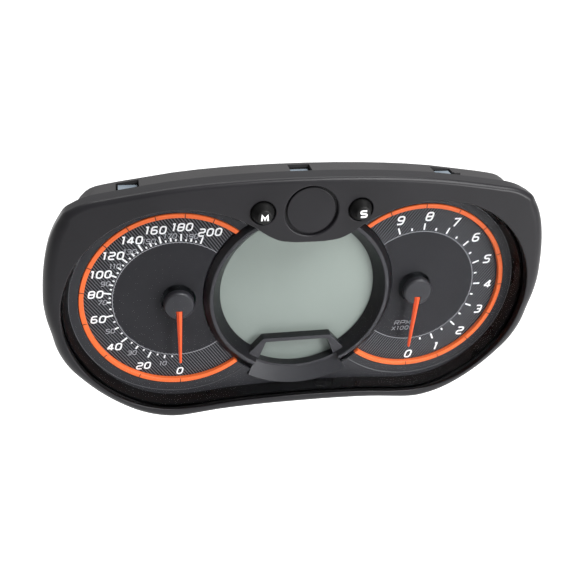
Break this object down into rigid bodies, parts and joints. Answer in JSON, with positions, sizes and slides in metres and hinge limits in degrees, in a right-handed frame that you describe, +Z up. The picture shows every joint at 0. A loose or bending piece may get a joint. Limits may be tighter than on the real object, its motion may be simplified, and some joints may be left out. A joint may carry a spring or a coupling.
{
  "type": "instrument cluster",
  "caption": "Twin-dial instrument cluster with a central round display, orange scale rings, a clear lens, a black bezel and press buttons.",
  "frame": {"origin": "centre of the flat mounting pad on the back of the case, in its rear face, level with the dial centres", "axes": "+X towards the rider's right along the width, +Z up the dial face, +Y backwards out of the mounting pad, so the face looks along -Y"},
  "size_m": [0.2882, 0.0644, 0.1534],
  "materials": {
    "bezel": "fine moulded texture",
    "lens": "clear moulded polycarbonate, polished",
    "rubber": "dull moulded rubber",
    "gloss_black": "piano black",
    "mask": "fine moulded texture, charcoal",
    "dial_face": "printed charcoal plate",
    "dial_ring": "printed orange band",
    "light_guide": "polished acrylic",
    "pointer": "translucent red orange",
    "hub_cap": "satin dark grey",
    "display_glass": "reflective liquid crystal, grey green",
    "white_plastic": "matt white",
    "housing": "moulded, faint texture",
    "circuit_board": "solder mask",
    "component": "moulded epoxy",
    "steel": "zinc plated",
    "capacitor": "drawn can",
    "brass": "machined"
  },
  "bodies": {
    "case": {"front_bezel": "bezel", "clear_lens": "lens", "lens_gasket": "rubber", "glare_shield": "gloss_black", "dial_mask": "mask", "centre_plug": "bezel", "mode_switch": "component", "set_switch": "component", "switch_board": "circuit_board", "switch_ribbon": "white_plastic", "display_bezel": "mask", "display_glass": "display_glass", "display_frame": "white_plastic", "display_diffuser": "white_plastic", "upper_contact_strip": "rubber", "lower_contact_strip": "rubber", "circuit_board": "circuit_board", "rear_housing": "housing", "connector_shell": "component", "connector_pins": "brass", "vent_plug": "component", "processor": "component", "capacitor": "capacitor", "buzzer": "component", "left_dial_plate": "dial_face", "left_dial_ring": "dial_ring", "left_light_guide": "light_guide", "left_gauge_motor": "component", "left_dial_lamp": "white_plastic", "right_dial_plate": "dial_face", "right_dial_ring": "dial_ring", "right_light_guide": "light_guide", "right_gauge_motor": "component", "right_dial_lamp": "white_plastic", "case_screw_1": "steel", "board_screw_1": "steel", "mounting_insert_1": "brass", "case_screw_2": "steel", "board_screw_2": "steel", "mounting_insert_2": "brass", "case_screw_3": "steel", "board_screw_3": "steel", "mounting_insert_3": "brass", "case_screw_4": "steel", "board_screw_4": "steel", "mounting_insert_4": "brass"},
    "left_needle": {"left_pointer": "pointer", "left_hub_cap": "hub_cap", "left_pointer_shaft": "steel"},
    "right_needle": {"right_pointer": "pointer", "right_hub_cap": "hub_cap", "right_pointer_shaft": "steel"},
    "mode_key": {"mode_button": "rubber"},
    "set_key": {"set_button": "rubber"}
  },
  "joints": [
    {"name": "left_pointer_turn", "type": "hinge", "parent": "case", "child": "left_needle", "pos_m": [-0.071, -0.045, 0], "axis": [0, 1, 0], "range_deg": [0, 205]},
    {"name": "right_pointer_turn", "type": "hinge", "parent": "case", "child": "right_needle", "pos_m": [0.071, -0.045, 0], "axis": [0, -1, 0], "range_deg": [0, 206]},
    {"name": "mode_button_press", "type": "slide", "parent": "case", "child": "mode_key", "axis": [0, 1, 0], "range_m": [0, 0.0012], "stiffness_N_per_m": 1500, "springref_m": -0.0004},
    {"name": "set_button_press", "type": "slide", "parent": "case", "child": "set_key", "axis": [0, 1, 0], "range_m": [0, 0.0012], "stiffness_N_per_m": 1500, "springref_m": -0.0004}
  ]
}
